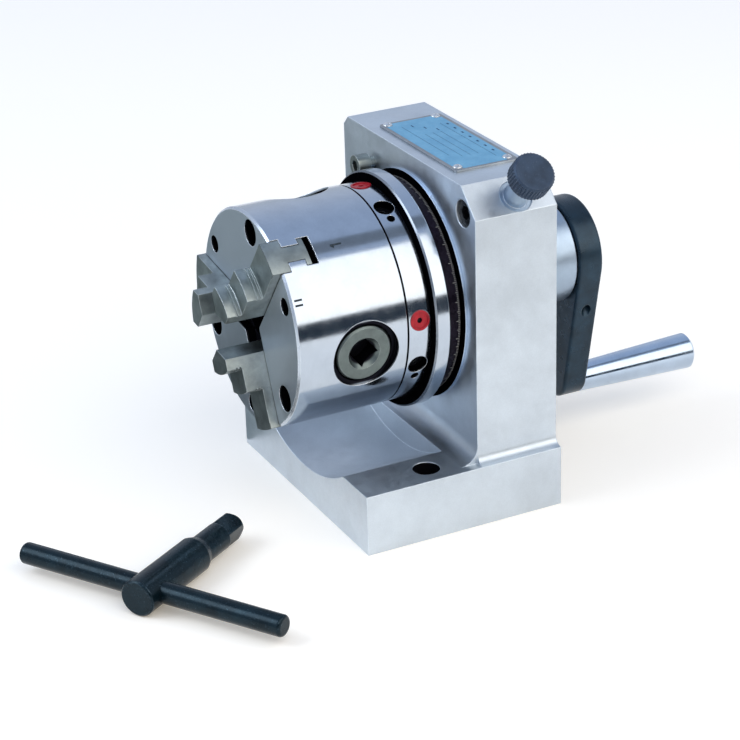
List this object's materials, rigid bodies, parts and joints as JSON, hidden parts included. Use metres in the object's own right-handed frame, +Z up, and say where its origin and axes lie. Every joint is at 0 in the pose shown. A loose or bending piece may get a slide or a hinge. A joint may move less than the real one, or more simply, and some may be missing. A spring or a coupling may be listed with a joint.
{
  "type": "indexing fixture with three-jaw chuck",
  "caption": "Horizontal-axis indexing fixture: L-shaped housing, scroll chuck with stepped jaws, graduated dial, pull plunger, rear hand crank and loose T-handle chuck key.",
  "frame": {"origin": "centre of the housing underside, directly below the spindle axis", "axes": "+Z up, spindle axis parallel to Y, chuck faces -Y, crank at +Y, chuck to be seen from +X and -Y"},
  "size_m": [0.145, 0.2816, 0.1376],
  "materials": {
    "ground_casting": "fine-ground, satin",
    "polished_steel": "hardened and ground bright",
    "jaw_steel": "ground, slightly grey",
    "blackened_steel": "black oxide, semi-gloss",
    "plate_blue": "printed anodised foil",
    "bright_fasteners": "bright turned",
    "bearing_steel": "ground",
    "spring_steel": "drawn wire",
    "bronze": "turned bronze",
    "red_enamel": "red sealing enamel"
  },
  "bodies": {
    "fixture_body": {"housing": "ground_casting", "name_plate": "plate_blue", "name_plate_screws": "bright_fasteners", "datum_ring": "blackened_steel", "stop_screw": "bright_fasteners", "plunger_sleeve": "jaw_steel", "plunger_lock_screw": "blackened_steel", "plunger_spring": "spring_steel", "front_bearing_outer_ring": "bearing_steel", "rear_bearing_outer_ring": "bearing_steel", "rear_cover": "polished_steel", "rear_cover_screws": "blackened_steel", "rear_bush": "bronze"},
    "spindle_group": {"spindle": "polished_steel", "front_bearing_inner_ring": "bearing_steel", "front_bearing_balls": "bearing_steel", "rear_bearing_inner_ring": "bearing_steel", "rear_bearing_balls": "bearing_steel", "index_plate": "bright_fasteners", "index_key": "bright_fasteners", "front_spacer": "bright_fasteners", "rear_spacer": "bright_fasteners", "retaining_ring": "spring_steel", "dial_ring": "blackened_steel", "chuck_back_plate": "polished_steel", "back_plate_screws": "blackened_steel", "adjusting_screws": "blackened_steel", "red_plugs": "red_enamel", "chuck_body": "polished_steel", "chuck_screws": "blackened_steel", "pinion_retaining_pins": "bright_fasteners", "crank_arm": "blackened_steel", "crank_set_screw": "blackened_steel", "crank_washer": "blackened_steel", "crank_end_screw": "blackened_steel", "handle_pin": "bright_fasteners", "handle_retaining_ring": "spring_steel"},
    "scroll": {"scroll_plate": "jaw_steel"},
    "pinion_1_body": {"pinion_1": "jaw_steel"},
    "pinion_2_body": {"pinion_2": "jaw_steel"},
    "pinion_3_body": {"pinion_3": "jaw_steel"},
    "jaw_1_body": {"jaw_1": "jaw_steel"},
    "jaw_2_body": {"jaw_2": "jaw_steel"},
    "jaw_3_body": {"jaw_3": "jaw_steel"},
    "grip": {"crank_handle": "polished_steel"},
    "plunger": {"index_pin": "bright_fasteners", "plunger_knob": "blackened_steel"},
    "chuck_key": {"key_body": "blackened_steel", "key_bar": "blackened_steel"}
  },
  "joints": [
    {"name": "spindle_turn", "type": "hinge", "parent": "fixture_body", "child": "spindle_group", "pos_m": [0, 0, 0.076], "axis": [0, 1, 0], "continuous": true},
    {"name": "plunger_pull", "type": "slide", "parent": "fixture_body", "child": "plunger", "axis": [0.7071, 0, 0.7071], "range_m": [0, 0.0055], "stiffness_N_per_m": 800, "springref_m": -0.006, "deforming": ["plunger_spring"]},
    {"name": "scroll_turn", "type": "hinge", "parent": "spindle_group", "child": "scroll", "pos_m": [0, 0, 0.076], "axis": [0, 1, 0], "range_deg": [-601, 481]},
    {"name": "jaw_1_slide", "type": "slide", "parent": "spindle_group", "child": "jaw_1_body", "axis": [0.6088, 0, 0.7934], "range_m": [-0.00667, 0.00533]},
    {"name": "jaw_2_slide", "type": "slide", "parent": "spindle_group", "child": "jaw_2_body", "axis": [-0.9914, 0, 0.1305], "range_m": [-0.0067, 0.0054]},
    {"name": "jaw_3_slide", "type": "slide", "parent": "spindle_group", "child": "jaw_3_body", "axis": [0.3827, 0, -0.9239], "range_m": [-0.0067, 0.0054]},
    {"name": "pinion_1_turn", "type": "hinge", "parent": "spindle_group", "child": "pinion_1_body", "pos_m": [0, -0.0317, 0.076], "axis": [0.9914, 0, -0.1305], "range_deg": [-2890, 2310]},
    {"name": "pinion_2_turn", "type": "hinge", "parent": "spindle_group", "child": "pinion_2_body", "pos_m": [0, -0.0317, 0.076], "axis": [-0.3827, 0, 0.9239], "range_deg": [-2890, 2310]},
    {"name": "pinion_3_turn", "type": "hinge", "parent": "spindle_group", "child": "pinion_3_body", "pos_m": [0, -0.0317, 0.076], "axis": [-0.6088, 0, -0.7934], "range_deg": [-2890, 2310]},
    {"name": "grip_spin", "type": "hinge", "parent": "spindle_group", "child": "grip", "pos_m": [0, 0.1005, 0.021], "axis": [0, 1, 0], "continuous": true},
    {"name": "key_lift", "type": "slide", "parent": "fixture_body", "child": "chuck_key", "axis": [0, 0, 1], "range_m": [0, 0.1]}
  ],
  "couplings": [
    {"joint": "scroll_turn", "follows": "jaw_1_slide", "rad_per_m": 1570.8},
    {"joint": "jaw_2_slide", "follows": "jaw_1_slide", "ratio": 1},
    {"joint": "jaw_3_slide", "follows": "jaw_1_slide", "ratio": 1},
    {"joint": "pinion_1_turn", "follows": "jaw_1_slide", "rad_per_m": 7539.8},
    {"joint": "pinion_2_turn", "follows": "jaw_1_slide", "rad_per_m": 7539.8},
    {"joint": "pinion_3_turn", "follows": "jaw_1_slide", "rad_per_m": 7539.8}
  ]
}
